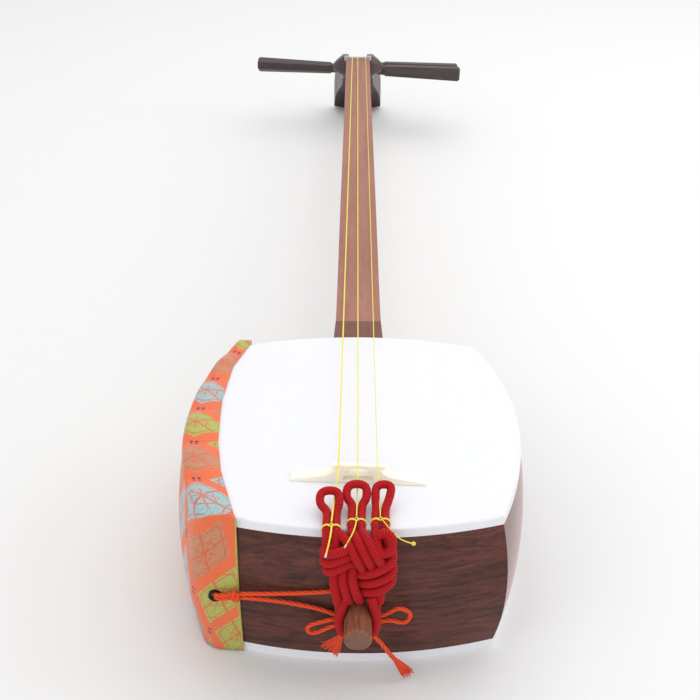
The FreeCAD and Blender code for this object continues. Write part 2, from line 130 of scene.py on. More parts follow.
def new_group(name, inputs, outputs):
    """A node group with these sockets; gives its tree, maths in it, its inputs and its results."""
    tree = bpy.data.node_groups.new(name, "ShaderNodeTree")
    kinds = {type(None): "NodeSocketVector", tuple: "NodeSocketColor", float: "NodeSocketFloat"}
    for label, value in inputs.items():
        s = tree.interface.new_socket(label, in_out="INPUT", socket_type=kinds[type(value)])
        if value is not None:
            s.default_value = value
    for label in outputs:
        kind = kinds[tuple if label == "Color" else float]
        tree.interface.new_socket(label, in_out="OUTPUT", socket_type=kind)
    given = tree.nodes.new("NodeGroupInput").outputs
    results = tree.nodes.new("NodeGroupOutput").inputs
    return tree, partial(maths, tree), given, results


def separate(tree, vector):
    n = tree.nodes.new("ShaderNodeSeparateXYZ")
    tree.links.new(vector, n.inputs[0])
    return n.outputs


def scaled(tree, place, scale):
    n = tree.nodes.new("ShaderNodeMapping")
    n.inputs["Scale"].default_value = scale
    tree.links.new(place, n.inputs["Vector"])
    return n.outputs[0]


def noise(tree, vector, scale, detail, rough=0.55, twist=0.0):
    n = tree.nodes.new("ShaderNodeTexNoise")
    n.inputs["Scale"].default_value = scale
    n.inputs["Detail"].default_value = detail
    n.inputs["Roughness"].default_value = rough
    n.inputs["Distortion"].default_value = twist
    tree.links.new(vector, n.inputs["Vector"])
    return n.outputs["Fac"]


def grain_group():
    """Streaks, curl, pores and slow colour change of wood."""
    tree, calc, given, results = new_group("WoodGrain", {
        "Vector": None, "Light": (0.5, 0.3, 0.2, 1), "Dark": (0.2, 0.1, 0.05, 1), "Pores": 0.5, "Curl": 0.3},
        ("Color", "Rough", "Height"))
    vector = given["Vector"]
    streak = noise(tree, vector, 1.0, 8.0, 0.60, 0.8)
    curl = noise(tree, vector, 0.55, 3.0, 0.5, 2.2)
    fine = noise(tree, vector, 9.0, 3.0, 0.75)
    slow = noise(tree, vector, 0.18, 2.0, 0.5)
    tone = calc("ADD", calc("MULTIPLY", streak, 0.6), calc("MULTIPLY", slow, 0.4))
    swing = calc("MULTIPLY", calc("SUBTRACT", curl, 0.5), given["Curl"])
    tone = calc("ADD", tone, swing)
    ramp = tree.nodes.new("ShaderNodeValToRGB")
    ramp.color_ramp.elements[0].position = 0.36
    ramp.color_ramp.elements[1].position = 0.64
    tree.links.new(tone, ramp.inputs[0])
    base = blend_colour(tree, ramp.outputs[0], given["Dark"], given["Light"])
    pore = calc("MULTIPLY", calc("GREATER_THAN", fine, 0.575), given["Pores"])
    tree.links.new(blend_colour(tree, pore, base, given["Dark"]), results["Color"])
    tree.links.new(calc("ADD", calc("MULTIPLY", streak, 0.24), 0.34), results["Rough"])
    tree.links.new(calc("SUBTRACT", streak, calc("MULTIPLY", pore, 0.5)), results["Height"])
    return tree


def mottle_group():
    """Faint clouding for smooth finishes such as skin, lacquer and plastic."""
    tree, calc, given, results = new_group("Mottle", {
        "Vector": None, "Color": (0.8, 0.8, 0.8, 1), "Swing": 0.06, "Gloss": 0.4},
        ("Color", "Rough", "Height"))
    cloud = noise(tree, given["Vector"], 0.25, 3.0)
    grit = noise(tree, given["Vector"], 1.0, 5.0)
    both = calc("MULTIPLY", calc("ADD", cloud, grit), 0.5)
    shade = calc("MULTIPLY", calc("SUBTRACT", 1.0, both), given["Swing"])
    tree.links.new(blend_colour(tree, shade, given["Color"], (0.02, 0.02, 0.02)), results["Color"])
    rough = calc("MULTIPLY_ADD", both, 0.12, calc("SUBTRACT", given["Gloss"], 0.06))
    tree.links.new(rough, results["Rough"])
    tree.links.new(grit, results["Height"])
    return tree


def worn_end_group():
    """A patchy darker or paler end, where the place's Y is under the limit."""
    tree, calc, given, results = new_group("WornEnd", {
        "Place": None, "Limit": 0.0, "Strength": 0.4, "Color": (0.5, 0.3, 0.2, 1),
        "End": (0.2, 0.1, 0.05, 1)}, ("Color",))
    mask = calc("LESS_THAN", separate(tree, given["Place"])[1], given["Limit"])
    patch = noise(tree, scaled(tree, given["Place"], (900, 200, 350)), 1.0, 4.0)
    amount = calc("MULTIPLY", mask, calc("MULTIPLY_ADD", patch, 0.7, given["Strength"]), clamp=True)
    tree.links.new(blend_colour(tree, amount, given["Color"], given["End"]), results["Color"])
    return tree


def twist_group():
    """Twisted cord with painted shade in the grooves between its strands: U runs along it and V round it, in
    metres.
    """
    tree, calc, given, results = new_group("CordTwist", {
        "UV": None, "Pitch": 0.002, "Around": 0.002, "Color": (1, 0, 0, 1), "Shade": (0.2, 0, 0, 1)},
        ("Color", "Height"))
    along, round_it = separate(tree, given["UV"])[:2]
    u = calc("DIVIDE", along, given["Pitch"])
    v = calc("DIVIDE", round_it, given["Around"])
    wave = calc("SINE", calc("MULTIPLY", calc("SUBTRACT", u, v), 2 * math.pi))
    lift = calc("MULTIPLY_ADD", wave, 0.5, 0.5, clamp=True)
    thread = noise(tree, given["UV"], 2600.0, 2.0)
    # painted shade: where the wave is low, between the strands, the cord takes the darker Shade colour; the
    # random thread flecks on the next line darken towards it too
    tone = blend_colour(tree, lift, given["Shade"], given["Color"])
    tone = blend_colour(tree, calc("MULTIPLY", thread, 0.35), tone, given["Shade"])
    tree.links.new(tone, results["Color"])
    tree.links.new(calc("MULTIPLY_ADD", thread, 0.4, lift), results["Height"])
    return tree


def brocade_group():
    """Lozenges in three colours on an orange ground, quartered, outlined and starred; UV in metres."""
    tree, calc, given, results = new_group("BrocadeLozenges", {
        "UV": None, "Repeat": 0.034, "Rise": 0.056, "Ground": (1, 0.3, 0.1, 1), "First": (0, 0, 1, 1),
        "Second": (1, 0.5, 0.4, 1), "Third": (0, 1, 0, 1)}, ("Color", "Height", "Silk"))
    across, up = separate(tree, given["UV"])[:2]
    s = calc("DIVIDE", across, given["Repeat"])
    t = calc("DIVIDE", up, given["Rise"])
    a = calc("ADD", calc("ADD", s, t), 0.5)
    b = calc("ADD", calc("SUBTRACT", s, t), 0.5)
    # the colours step one way in even rows and the other way in odd rows
    k = calc("ADD", calc("FLOOR", a), calc("FLOOR", b))
    odd = calc("ROUND", calc("FLOORED_MODULO", k, 2.0))
    step = calc("MULTIPLY_ADD", odd, calc("SUBTRACT", 0.5, k), calc("MULTIPLY", k, 0.5))
    index = calc("FLOORED_MODULO", calc("ADD", step, 0.25), 3.0)
    ma = calc("ABSOLUTE", calc("SUBTRACT", calc("FRACT", a), 0.5))
    mb = calc("ABSOLUTE", calc("SUBTRACT", calc("FRACT", b), 0.5))
    reach = calc("MAXIMUM", ma, mb)
    inner = calc("MINIMUM", ma, mb)
    inside = calc("LESS_THAN", reach, 0.375)
    outline = calc("COMPARE", reach, 0.315, 0.011)
    quarter = calc("LESS_THAN", inner, 0.020)
    ray = calc("LESS_THAN", calc("ABSOLUTE", calc("SUBTRACT", ma, mb)), 0.016)
    star = calc("MULTIPLY", calc("MAXIMUM", ray, quarter), calc("LESS_THAN", reach, 0.17))
    petal = calc("COMPARE", calc("ADD", ma, mb), 0.22, 0.013)
    petal = calc("MULTIPLY", petal, calc("LESS_THAN", reach, 0.2))
    corner = calc("COMPARE", calc("ADD", ma, mb), 0.56, 0.014)
    line = calc("MAXIMUM", calc("MAXIMUM", quarter, outline), calc("MAXIMUM", star, petal))
    line = calc("MAXIMUM", line, corner)
    cell = blend_colour(tree, calc("GREATER_THAN", index, 1.0), given["First"], given["Second"])
    cell = blend_colour(tree, calc("GREATER_THAN", index, 2.0), cell, given["Third"])
    wave = tree.nodes.new("ShaderNodeTexWave")
    wave.bands_direction = "DIAGONAL"
    wave.inputs["Scale"].default_value = 330.0
    wave.inputs["Distortion"].default_value = 1.0
    tree.links.new(given["UV"], wave.inputs["Vector"])
    rib = wave.outputs["Fac"]
    fleck = noise(tree, given["UV"], 1500.0, 2.0)
    worn = calc("MULTIPLY", line, calc("MULTIPLY_ADD", fleck, 0.5, 0.55))
    cell = blend_colour(tree, worn, cell, given["Ground"])
    shade = calc("MULTIPLY", calc("SUBTRACT", fleck, 0.36), 1.7, clamp=True)
    cell = blend_colour(tree, shade, cell, (0.16, 0.10, 0.06))
    ground = blend_colour(tree, calc("MULTIPLY", rib, 0.13), given["Ground"], (0.98, 0.52, 0.30))
    out = blend_colour(tree, inside, ground, cell)
    # small purple blossoms where four lozenges meet, in even rows
    da = calc("SUBTRACT", 0.5, ma)
    db = calc("SUBTRACT", 0.5, mb)
    reach_a = calc("MAXIMUM", da, calc("ABSOLUTE", calc("SUBTRACT", db, 0.055)))
    reach_b = calc("MAXIMUM", db, calc("ABSOLUTE", calc("SUBTRACT", da, 0.055)))
    dots = calc("LESS_THAN", calc("MINIMUM", reach_a, reach_b), 0.023)
    out = blend_colour(tree, dots, out, (0.075, 0.018, 0.12))
    edge = calc("LESS_THAN", across, HEM_U / 2)
    out = blend_colour(tree, edge, out, given["Third"])
    tree.links.new(out, results["Color"])
    height = calc("MULTIPLY_ADD", inside, 0.45, calc("MULTIPLY", rib, 0.25))
    height = calc("SUBTRACT", height, calc("MULTIPLY", line, 0.3))
    tree.links.new(calc("MULTIPLY_ADD", fleck, 0.3, height), results["Height"])
    tree.links.new(calc("SUBTRACT", 0.58, calc("MULTIPLY", inside, 0.17)), results["Silk"])
    return tree


MAKERS = {"grain": grain_group, "worn_end": worn_end_group, "mottle": mottle_group,
          "twist": twist_group, "brocade": brocade_group}
GROUPS = {}


def effect(tree, name, **values):
    if name not in GROUPS:
        GROUPS[name] = MAKERS[name]()
    n = tree.nodes.new("ShaderNodeGroup")
    n.node_tree = GROUPS[name]
    for label, value in values.items():
        n.inputs[label].default_value = (*value, 1) if isinstance(value, tuple) else value
    return n


def start_material(name, **sockets):
    m = bpy.data.materials.new(name)
    m.use_nodes = True
    tree = m.node_tree
    shader = tree.nodes["Principled BSDF"]
    for label, value in sockets.items():
        shader.inputs[label.replace("_", " ")].default_value = value
    return m, tree, shader, tree.nodes.new("ShaderNodeTexCoord")


def relief(tree, shader, height, strength, distance=0.0002):
    n = tree.nodes.new("ShaderNodeBump")
    n.inputs["Strength"].default_value = strength
    n.inputs["Distance"].default_value = distance
    tree.links.new(height, n.inputs["Height"])
    tree.links.new(n.outputs[0], shader.inputs["Normal"])


def wood(name, light, dark, stretch, pores, curl, worn=None, **sockets):
    """stretch is how fast the pattern changes along X, Y and Z; slow along the grain.
    worn gives a darker or paler end: its limit on Y, its colour and its strength."""
    m, tree, shader, coords = start_material(name, **sockets)
    place = coords.outputs["Object"]
    g = effect(tree, "grain", Light=tuple(light), Dark=tuple(dark), Pores=pores, Curl=curl)
    tree.links.new(scaled(tree, place, stretch), g.inputs["Vector"])
    tone = g.outputs["Color"]
    if worn is not None:
        limit, shade, strength = worn
        end = effect(tree, "worn_end", Limit=limit, End=shade, Strength=strength)
        tree.links.new(place, end.inputs["Place"])
        tree.links.new(tone, end.inputs["Color"])
        tone = end.outputs["Color"]
    tree.links.new(tone, shader.inputs["Base Color"])
    tree.links.new(g.outputs["Rough"], shader.inputs["Roughness"])
    relief(tree, shader, g.outputs["Height"], 0.22)
    return m


def smooth_finish(name, base, gloss, scale, swing, depth, **sockets):
    m, tree, shader, coords = start_material(name, **sockets)
    g = effect(tree, "mottle", Color=tuple(base), Swing=swing, Gloss=gloss)
    tree.links.new(scaled(tree, coords.outputs["Object"], (scale, scale, scale)), g.inputs["Vector"])
    tree.links.new(g.outputs["Color"], shader.inputs["Base Color"])
    tree.links.new(g.outputs["Rough"], shader.inputs["Roughness"])
    relief(tree, shader, g.outputs["Height"], depth)
    return m


def cord_finish(name, base, dim, lay, width):
    """Cord of this lay and width; dim is how bright the painted shade in its grooves is beside its strands."""
    m, tree, shader, coords = start_material(name, Roughness=0.7, Sheen_Weight=0.05, Specular_IOR_Level=0.2)
    g = effect(tree, "twist", Pitch=lay.pitch, Around=math.pi * width / lay.strands, Color=tuple(base),
               Shade=tuple(c * dim for c in base))
    tree.links.new(coords.outputs["UV"], g.inputs["UV"])
    tree.links.new(g.outputs["Color"], shader.inputs["Base Color"])
    relief(tree, shader, g.outputs["Height"], 0.5)
    return m


def brocade_finish(sizes, tones):
    m, tree, shader, coords = start_material("brocade", Sheen_Weight=0.15, Specular_IOR_Level=0.35)
    g = effect(tree, "brocade", Repeat=sizes.cell_repeat, Rise=sizes.cell_rise, Ground=tuple(tones.ground),
               First=tuple(tones.blue), Second=tuple(tones.salmon), Third=tuple(tones.green))
    tree.links.new(coords.outputs["UV"], g.inputs["UV"])
    tree.links.new(g.outputs["Color"], shader.inputs["Base Color"])
    tree.links.new(g.outputs["Silk"], shader.inputs["Roughness"])
    relief(tree, shader, g.outputs["Height"], 0.6, 0.0004)
    return m


def dress(node, material):
    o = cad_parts[node]
    if not o.material_slots:
        o.data.materials.append(material)
    for s in o.material_slots:
        s.material = material


# ---------------------------------------------------------------- cords

def smooth_line(route, fineness):
    """The NURBS line that has the route's points as its control points."""
    curve = bpy.data.curves.new("route", "CURVE")
    curve.dimensions = "3D"
    spline = curve.splines.new("NURBS")
    spline.points.add(len(route) - 1)
    for p, q in zip(spline.points, route):
        p.co = (*q, 1)
    spline.order_u = 3
    spline.use_endpoint_u = True
    spline.resolution_u = fineness
    holder = bpy.data.objects.new("route", curve)
    bpy.context.scene.collection.objects.link(holder)
    bpy.context.view_layer.update()
    mesh = bpy.data.meshes.new_from_object(holder)
    line = [v.co.copy() for v in mesh.vertices]
    bpy.data.objects.remove(holder)
    bpy.data.curves.remove(curve)
    bpy.data.meshes.remove(mesh)
    return line


class Lay:
    """How a cord is twisted: strands round it, length of one repeat, and depth of its grooves."""
    def __init__(self, strands, pitch, depth):
        self.strands, self.pitch, self.depth = strands, pitch, depth

    def swell(self, along, angle):
        return 1 + self.depth * math.sin(2 * math.pi * along / self.pitch - self.strands * angle)


def run_lengths(points):
    """How far along the line each of its points is."""
    runs = [0.0]
    for a, b in zip(points, points[1:]):
        runs.append(runs[-1] + (b - a).length)
    return runs


def tube(name, routes, width, sides, fineness, lay=None):
    """One closed tube for each route, all in one object."""
    verts, faces, uvs = [], [], []
    for route in routes:
        line = smooth_line(route, fineness)
        run = run_lengths(line)
        base, count = len(verts), len(line)
        tangent = (line[1] - line[0]).normalized()
        side = tangent.orthogonal().normalized()
        for i, p in enumerate(line):
            ahead = (line[min(i + 1, count - 1)] - line[max(i - 1, 0)]).normalized()
            side = tangent.rotation_difference(ahead) @ side
            side = (side - ahead * side.dot(ahead)).normalized()
            tangent = ahead
            other = tangent.cross(side)
            for k in range(sides):
                angle = 2 * math.pi * k / sides
                r = width / 2
                if lay is not None:
                    r *= lay.swell(run[i], angle)
                verts.append(p + (side * math.cos(angle) + other * math.sin(angle)) * r)
        girth = math.pi * width
        for i in range(count - 1):
            for k in range(sides):
                j = (k + 1) % sides
                faces.append((base + i * sides + k, base + i * sides + j, base + (i + 1) * sides + j,
                              base + (i + 1) * sides + k))
                v0, v1 = girth * k / sides, girth * (k + 1) / sides
                uvs += [(run[i], v0), (run[i], v1), (run[i + 1], v1), (run[i + 1], v0)]
        for i, near in ((0, True), (count - 1, False)):
            centre = len(verts)
            verts.append(line[i].copy())
            for k in range(sides):
                a, b = base + i * sides + k, base + i * sides + (k + 1) % sides
                faces.append((centre, b, a) if near else (centre, a, b))
                uvs += [(run[i], 0.0)] * 3
    o = mesh_object(name, verts, faces)
    layer = o.data.uv_layers.new(name="UVMap")
    layer.data.foreach_set("uv", [c for uv in uvs for c in uv])
    return o


def mesh_object(name, verts, faces):
    data = bpy.data.meshes.new(name)
    data.from_pydata(verts, [], faces)
    data.polygons.foreach_set("use_smooth", [True] * len(data.polygons))
    data.update()
    o = bpy.data.objects.new(name, data)
    bpy.context.scene.collection.objects.link(o)
    return o


def fit(o, material, body, slot, *nodes):
    o.data.materials.append(material)
    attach(o, body)
    if nodes:
        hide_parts(*nodes)
    return o


# ---------------------------------------------------------------- routes, in metres

LOOPS = {
    "left": [(-0.016, -0.1085, 0.084), (-0.016, -0.1028, 0.0943), (-0.016, -0.094, 0.0946),
        (-0.0157, -0.087, 0.0958), (-0.0201, -0.084, 0.0984), (-0.0192, -0.0778, 0.1019),
        (-0.0101, -0.0778, 0.1019), (-0.0096, -0.084, 0.0984), (-0.0112, -0.087, 0.0958),
        (-0.0112, -0.094, 0.0946), (-0.0112, -0.1028, 0.0943), (-0.0112, -0.1085, 0.084)],
    "middle": [(-0.0034, -0.1059, 0.084), (-0.0034, -0.1002, 0.0943), (-0.0034, -0.0905, 0.0946),
        (-0.0029, -0.0824, 0.0964), (-0.0066, -0.0794, 0.099), (-0.0054, -0.073, 0.1025),
        (0.0039, -0.073, 0.1025), (0.0045, -0.0794, 0.099), (0.0017, -0.0826, 0.0964),
        (0.0014, -0.0905, 0.0946), (0.0014, -0.1002, 0.0943), (0.0014, -0.1059, 0.084)],
    "right": [(0.0086, -0.1059, 0.084), (0.0086, -0.1002, 0.0943), (0.0086, -0.0905, 0.0946),
        (0.0092, -0.084, 0.096), (0.0085, -0.079, 0.099), (0.0091, -0.0732, 0.1025),
        (0.0173, -0.0732, 0.1025), (0.016, -0.0796, 0.099), (0.0136, -0.0848, 0.096),
        (0.0135, -0.0905, 0.0946), (0.0135, -0.1002, 0.0943), (0.0135, -0.1059, 0.084)],
}
# the woven knot: each strand goes under its neighbours at both ends
KNOT = {
    "falling": [
        [(-0.0094, -0.1018, 0.0936), (-0.0064, -0.105, 0.0932), (-0.0036, -0.1088, 0.09),
         (-0.0012, -0.1104, 0.0858), (0.0008, -0.1102, 0.0808), (0.0026, -0.1074, 0.0752)],
        [(-0.0034, -0.1008, 0.0942), (-0.0014, -0.1048, 0.094), (0.0014, -0.1088, 0.091),
         (0.0039, -0.1106, 0.0866), (0.0059, -0.1102, 0.0816), (0.0076, -0.1074, 0.076)],
        [(0.0014, -0.1008, 0.0942), (0.0032, -0.1044, 0.0946), (0.0062, -0.1086, 0.092),
         (0.0087, -0.1104, 0.0876), (0.0108, -0.11, 0.0826), (0.0124, -0.1072, 0.0774)],
    ],
    "left": [
        [(-0.012, -0.1054, 0.0886), (-0.0178, -0.1056, 0.087), (-0.0162, -0.1098, 0.0868),
         (-0.0104, -0.1106, 0.0886), (-0.0058, -0.1086, 0.0894), (-0.0026, -0.106, 0.0884)],
        [(-0.012, -0.1054, 0.0816), (-0.0178, -0.1056, 0.081), (-0.016, -0.11, 0.081),
         (-0.0098, -0.1108, 0.0838), (-0.005, -0.1086, 0.085), (-0.0018, -0.106, 0.0842)],
        [(-0.0116, -0.1054, 0.0754), (-0.0168, -0.1056, 0.0754), (-0.015, -0.11, 0.0756),
         (-0.009, -0.1108, 0.079), (-0.0044, -0.1086, 0.0806), (-0.0012, -0.106, 0.0798)],
    ],
    "right": [
        [(-0.0014, -0.106, 0.0716), (0.0022, -0.109, 0.073), (0.0074, -0.1112, 0.0762),
         (0.0134, -0.1108, 0.0794), (0.018, -0.1074, 0.0824), (0.0166, -0.1052, 0.0864)],
        [(-0.0008, -0.106, 0.066), (0.0028, -0.109, 0.0674), (0.008, -0.1112, 0.0698),
         (0.0138, -0.1108, 0.0726), (0.0186, -0.1074, 0.0756), (0.0164, -0.1052, 0.079)],
        [(0.0, -0.106, 0.0604), (0.0034, -0.109, 0.0618), (0.0084, -0.111, 0.0636),
         (0.0136, -0.1106, 0.066), (0.0182, -0.1074, 0.069), (0.0162, -0.1052, 0.0724)],
    ],
    "hanging": [
        [(-0.0116, -0.1058, 0.076), (-0.0126, -0.1088, 0.071), (-0.0116, -0.111, 0.0644),
         (-0.0104, -0.1108, 0.058), (-0.0096, -0.1094, 0.053), (-0.0094, -0.1086, 0.0486)],
        [(-0.0072, -0.1058, 0.078), (-0.0082, -0.109, 0.0726), (-0.007, -0.1112, 0.0656),
         (-0.0054, -0.1108, 0.059), (-0.004, -0.1086, 0.0544), (-0.0044, -0.106, 0.0556)],
        [(-0.0024, -0.1058, 0.0786), (-0.0034, -0.1092, 0.0736), (-0.0022, -0.1114, 0.0668),
         (-0.0004, -0.111, 0.06), (0.0012, -0.1088, 0.0552), (0.001, -0.106, 0.0564)],
    ],
    "eye": [
        [(0.0086, -0.1008, 0.094), (0.0088, -0.1048, 0.0928), (0.0092, -0.1078, 0.0904),
         (0.0116, -0.109, 0.0872), (0.0154, -0.1088, 0.0878), (0.0172, -0.107, 0.092),
         (0.0156, -0.1054, 0.0964), (0.0114, -0.104, 0.0966), (0.0096, -0.1036, 0.0934)],
        [(0.0135, -0.1008, 0.0942), (0.014, -0.1034, 0.0922), (0.0158, -0.1052, 0.088),
         (0.0152, -0.1056, 0.081)],
    ],
    "back": [
        [(-0.0134, -0.105, 0.086), (-0.0124, -0.1056, 0.072), (-0.0114, -0.1064, 0.062),
         (-0.0106, -0.1082, 0.054)],
        [(0.0128, -0.105, 0.086), (0.0128, -0.1056, 0.074), (0.0124, -0.1066, 0.064),
         (0.0108, -0.1082, 0.054)],
        [(-0.0076, -0.1052, 0.086), (-0.0072, -0.1056, 0.072), (-0.0076, -0.1058, 0.06),
         (-0.0098, -0.108, 0.0534)],
        [(0.008, -0.1052, 0.086), (0.008, -0.1056, 0.072), (0.0074, -0.1062, 0.061),
         (0.0088, -0.1084, 0.055)],
        [(-0.0026, -0.1052, 0.086), (-0.0022, -0.1056, 0.07), (-0.0024, -0.1056, 0.057)],
        [(0.003, -0.1052, 0.086), (0.0034, -0.1056, 0.07), (0.0032, -0.1056, 0.057)],
    ],
}
LEGS = [
    [(-0.0106, -0.1074, 0.06), (-0.0094, -0.1084, 0.053), (-0.0099, -0.1086, 0.046),
     (-0.0094, -0.1086, 0.0384), (-0.0052, -0.1086, 0.0356), (0.0052, -0.1086, 0.0356),
     (0.0094, -0.1086, 0.0384), (0.0099, -0.1086, 0.046), (0.0094, -0.1084, 0.053),
     (0.0108, -0.1074, 0.061)],
    [(-0.0064, -0.1106, 0.0586), (-0.0079, -0.112, 0.0534), (-0.0097, -0.1129, 0.047),
     (-0.0094, -0.113, 0.0386), (-0.0052, -0.113, 0.0356), (0.0052, -0.113, 0.0356),
     (0.0094, -0.113, 0.0386), (0.0097, -0.1129, 0.047), (0.0079, -0.112, 0.0534),
     (0.0066, -0.1106, 0.0596)],
]
TIE_TAILS = {
    "1": [(-0.0134, -0.0996, 0.0972), (-0.0134, -0.1046, 0.0982), (-0.0146, -0.1098, 0.0936),
        (-0.0163, -0.112, 0.0872)],
    "2": [(-0.001, -0.0952, 0.0972), (-0.0016, -0.1026, 0.0982), (-0.0046, -0.108, 0.0948),
        (-0.0088, -0.1106, 0.0882)],
    "3": [(0.012, -0.0952, 0.0972), (0.0158, -0.1032, 0.0974), (0.0214, -0.1078, 0.0942),
        (0.027, -0.1086, 0.0934)],
}
CORDS = {
    "cord_upper": [(-0.062, -0.0983, 0.0498), (-0.038, -0.1005, 0.052), (-0.013, -0.1022, 0.0554),
        (0.002, -0.1021, 0.0568), (0.0096, -0.1023, 0.0505), (0.0094, -0.1026, 0.041),
        (0.003, -0.1032, 0.0336)],
    "cord_lower": [(-0.062, -0.0983, 0.0473), (-0.048, -0.0995, 0.0472), (-0.03, -0.101, 0.0452),
        (-0.0134, -0.1026, 0.0416), (-0.0034, -0.1033, 0.0346)],
    "bow_loop_left": [(-0.0026, -0.1036, 0.0326), (-0.011, -0.1044, 0.039), (-0.0185, -0.1044, 0.0364),
        (-0.0236, -0.1044, 0.0346), (-0.0266, -0.1044, 0.0324), (-0.0259, -0.1045, 0.029),
        (-0.0226, -0.1046, 0.0282), (-0.0175, -0.1047, 0.0314), (-0.01, -0.1049, 0.0356),
        (-0.0024, -0.1042, 0.0306)],
    "bow_loop_right": [(0.0026, -0.1036, 0.0326), (0.009, -0.1044, 0.0404), (0.015, -0.1044, 0.042),
        (0.021, -0.1044, 0.0472), (0.0284, -0.1044, 0.043), (0.025, -0.1046, 0.0354),
        (0.017, -0.1048, 0.0386), (0.009, -0.1049, 0.0368), (0.0024, -0.1042, 0.0306)],
    "bow_tail_left": [(-0.0016, -0.105, 0.0302), (-0.005, -0.1074, 0.03), (-0.008, -0.1078, 0.0304)],
    "bow_tail_right": [(0.0016, -0.105, 0.03), (0.0072, -0.1074, 0.0314), (0.013, -0.1082, 0.0244),
        (0.0179, -0.1085, 0.016)],
}
CORD_PAIR = [
    [(-0.075, -0.0946, 0.0462), (-0.0736, -0.0968, 0.0472), (-0.07, -0.0976, 0.0478),
     (-0.065, -0.0983, 0.0492)],
    [(-0.075, -0.0946, 0.0442), (-0.0736, -0.0968, 0.0449), (-0.07, -0.0976, 0.0456),
     (-0.065, -0.0983, 0.047)],
]
CORD_WRAP = [
    [(-0.0644, -0.1, 0.0464), (-0.0646, -0.1004, 0.049), (-0.0642, -0.0988, 0.0513),
     (-0.0636, -0.0968, 0.0502), (-0.0636, -0.0968, 0.0468), (-0.0629, -0.0996, 0.046),
     (-0.0626, -0.1005, 0.0488), (-0.0624, -0.0988, 0.051)],
]
BOW_WRAP = [
    [(-0.0024, -0.1046, 0.0334), (0.0, -0.1062, 0.0338), (0.0024, -0.1048, 0.033), (0.002, -0.1018, 0.031),
     (-0.0014, -0.1016, 0.03), (-0.0026, -0.1044, 0.0304), (0.0, -0.1063, 0.0302),
     (0.0024, -0.1048, 0.0306)],
]
# cover: tail edge, corner, far corner and middle of its outline; then the edge of the cloth on the skin
COVER = {"tail": (-0.06, -0.08911), "corner": (-0.0804, -0.0873), "far": (-0.0762, 0.0855),
         "middle": (-0.0977, -0.004), "end": (-0.06, 0.08911)}
LIP = [(-0.0622, -0.0908), (-0.0642, -0.0853), (-0.0692, -0.0678), (-0.0745, -0.0493), (-0.0788, -0.0222),
       (-0.0805, 0.006), (-0.0809, 0.0218), (-0.0781, 0.0582), (-0.0692, 0.0873)]

# share of the way round the cover, and share of the way along the edge on the skin
LIP_SHARES = ((0.0, 0.0), (0.06, 0.018), (0.17, 0.085), (0.5, 0.47), (0.94, 0.965), (1.0, 1.0))
# the body under the cloth
BODY_THICKNESS = 0.092
BODY_RIM = 0.0056
BODY_BULGE = 0.0041
# the cloth: its lower edge, its thickness, the radius of its fold and where its pattern starts
CLOTH_LOW = 0.0008
CLOTH_THICKNESS = 0.0004
FOLD_RADIUS = 0.0032
PATTERN_DROP = 0.0080
# rows of the cloth up the side, round the fold and over to the edge on the skin
SIDE_STEPS = 24
FOLD_STEPS = 6
LIP_STEPS = 9
# U of the hem, off the pattern, so that the hem is green
HEM_U = -1.0
# each tassel: its root, the two ends of its fringe, and the seed of its threads
TASSELS = {
    "left": ((-0.0078, -0.1078, 0.0306), ((-0.0196, -0.1086, 0.0232), (-0.0108, -0.1088, 0.0152)), 3),
    "right": ((0.0177, -0.1085, 0.0165), ((0.0252, -0.1100, 0.0024), (0.0304, -0.1096, 0.0056)), 5),
}
THREAD_WIDTH = 0.00042
THREAD_SPREAD = 0.0011
# how finely the orange cord's line is divided
ROPE_FINENESS = 26


# ---------------------------------------------------------------- pieces

def settings():
    s = bpy.context.scene
    return s.shamisen_sizes, s.shamisen_colours


class SHAMISEN_OT_stage(Operator):
    """Set the camera, the pale floor and the soft light"""
    bl_idname = "shamisen.stage"
    bl_label = "Stage"

    def execute(self, context):
        pitch, yaw, roll = 0.5372, -0.0034, 0.0047
        ahead = Vector((math.sin(yaw) * math.cos(pitch), math.cos(yaw) * math.cos(pitch), -math.sin(pitch)))
        right = Vector((math.cos(yaw), -math.sin(yaw), 0))
        up = right.cross(ahead)
        r = right * math.cos(roll) + up * math.sin(roll)
        u = up * math.cos(roll) - right * math.sin(roll)
        turn = Matrix((r, u, -ahead)).transposed().to_4x4()
        data = bpy.data.cameras.new("camera")
        data.lens = 56.73
        data.clip_start = 0.01
        camera = bpy.data.objects.new("camera", data)
        camera.matrix_world = Matrix.Translation((-0.003225, -0.52649, 0.45304)) @ turn
        context.scene.collection.objects.link(camera)
        context.scene.camera = camera
        bpy.ops.mesh.primitive_plane_add(size=14.0, location=(0, 0, 0))
        floor = context.object
        floor.name = "floor"
        floor.data.materials.append(smooth_finish("floor", (0.80, 0.80, 0.795), 0.7, 40.0, 0.02, 0.02))
        for name, place, size, power in (("top_light", (0.35, 1.0, 1.9), 2.0, 15.0),
                                         ("left_light", (-1.5, -0.9, 1.3), 1.4, 3.2),
                                         ("right_light", (1.4, 0.3, 0.9), 1.0, 5.5),
                                         ("front_light", (0.1, -1.9, 1.1), 1.4, 6.0)):
            lamp = bpy.data.lights.new(name, "AREA")
            lamp.energy = power
            lamp.size = size
            o = bpy.data.objects.new(name, lamp)
            o.location = place
            o.rotation_euler = (Vector((0, 0.1, 0.05)) - Vector(place)).to_track_quat("-Z", "Y").to_euler()
            context.scene.collection.objects.link(o)
        world = bpy.data.worlds.new("room")
        world.use_nodes = True
        back = world.node_tree.nodes["Background"]
        back.inputs[0].default_value = (0.99, 0.995, 1.0, 1)
        back.inputs[1].default_value = 0.83
        context.scene.world = world
        context.scene.view_settings.view_transform = "Standard"
        return {"FINISHED"}


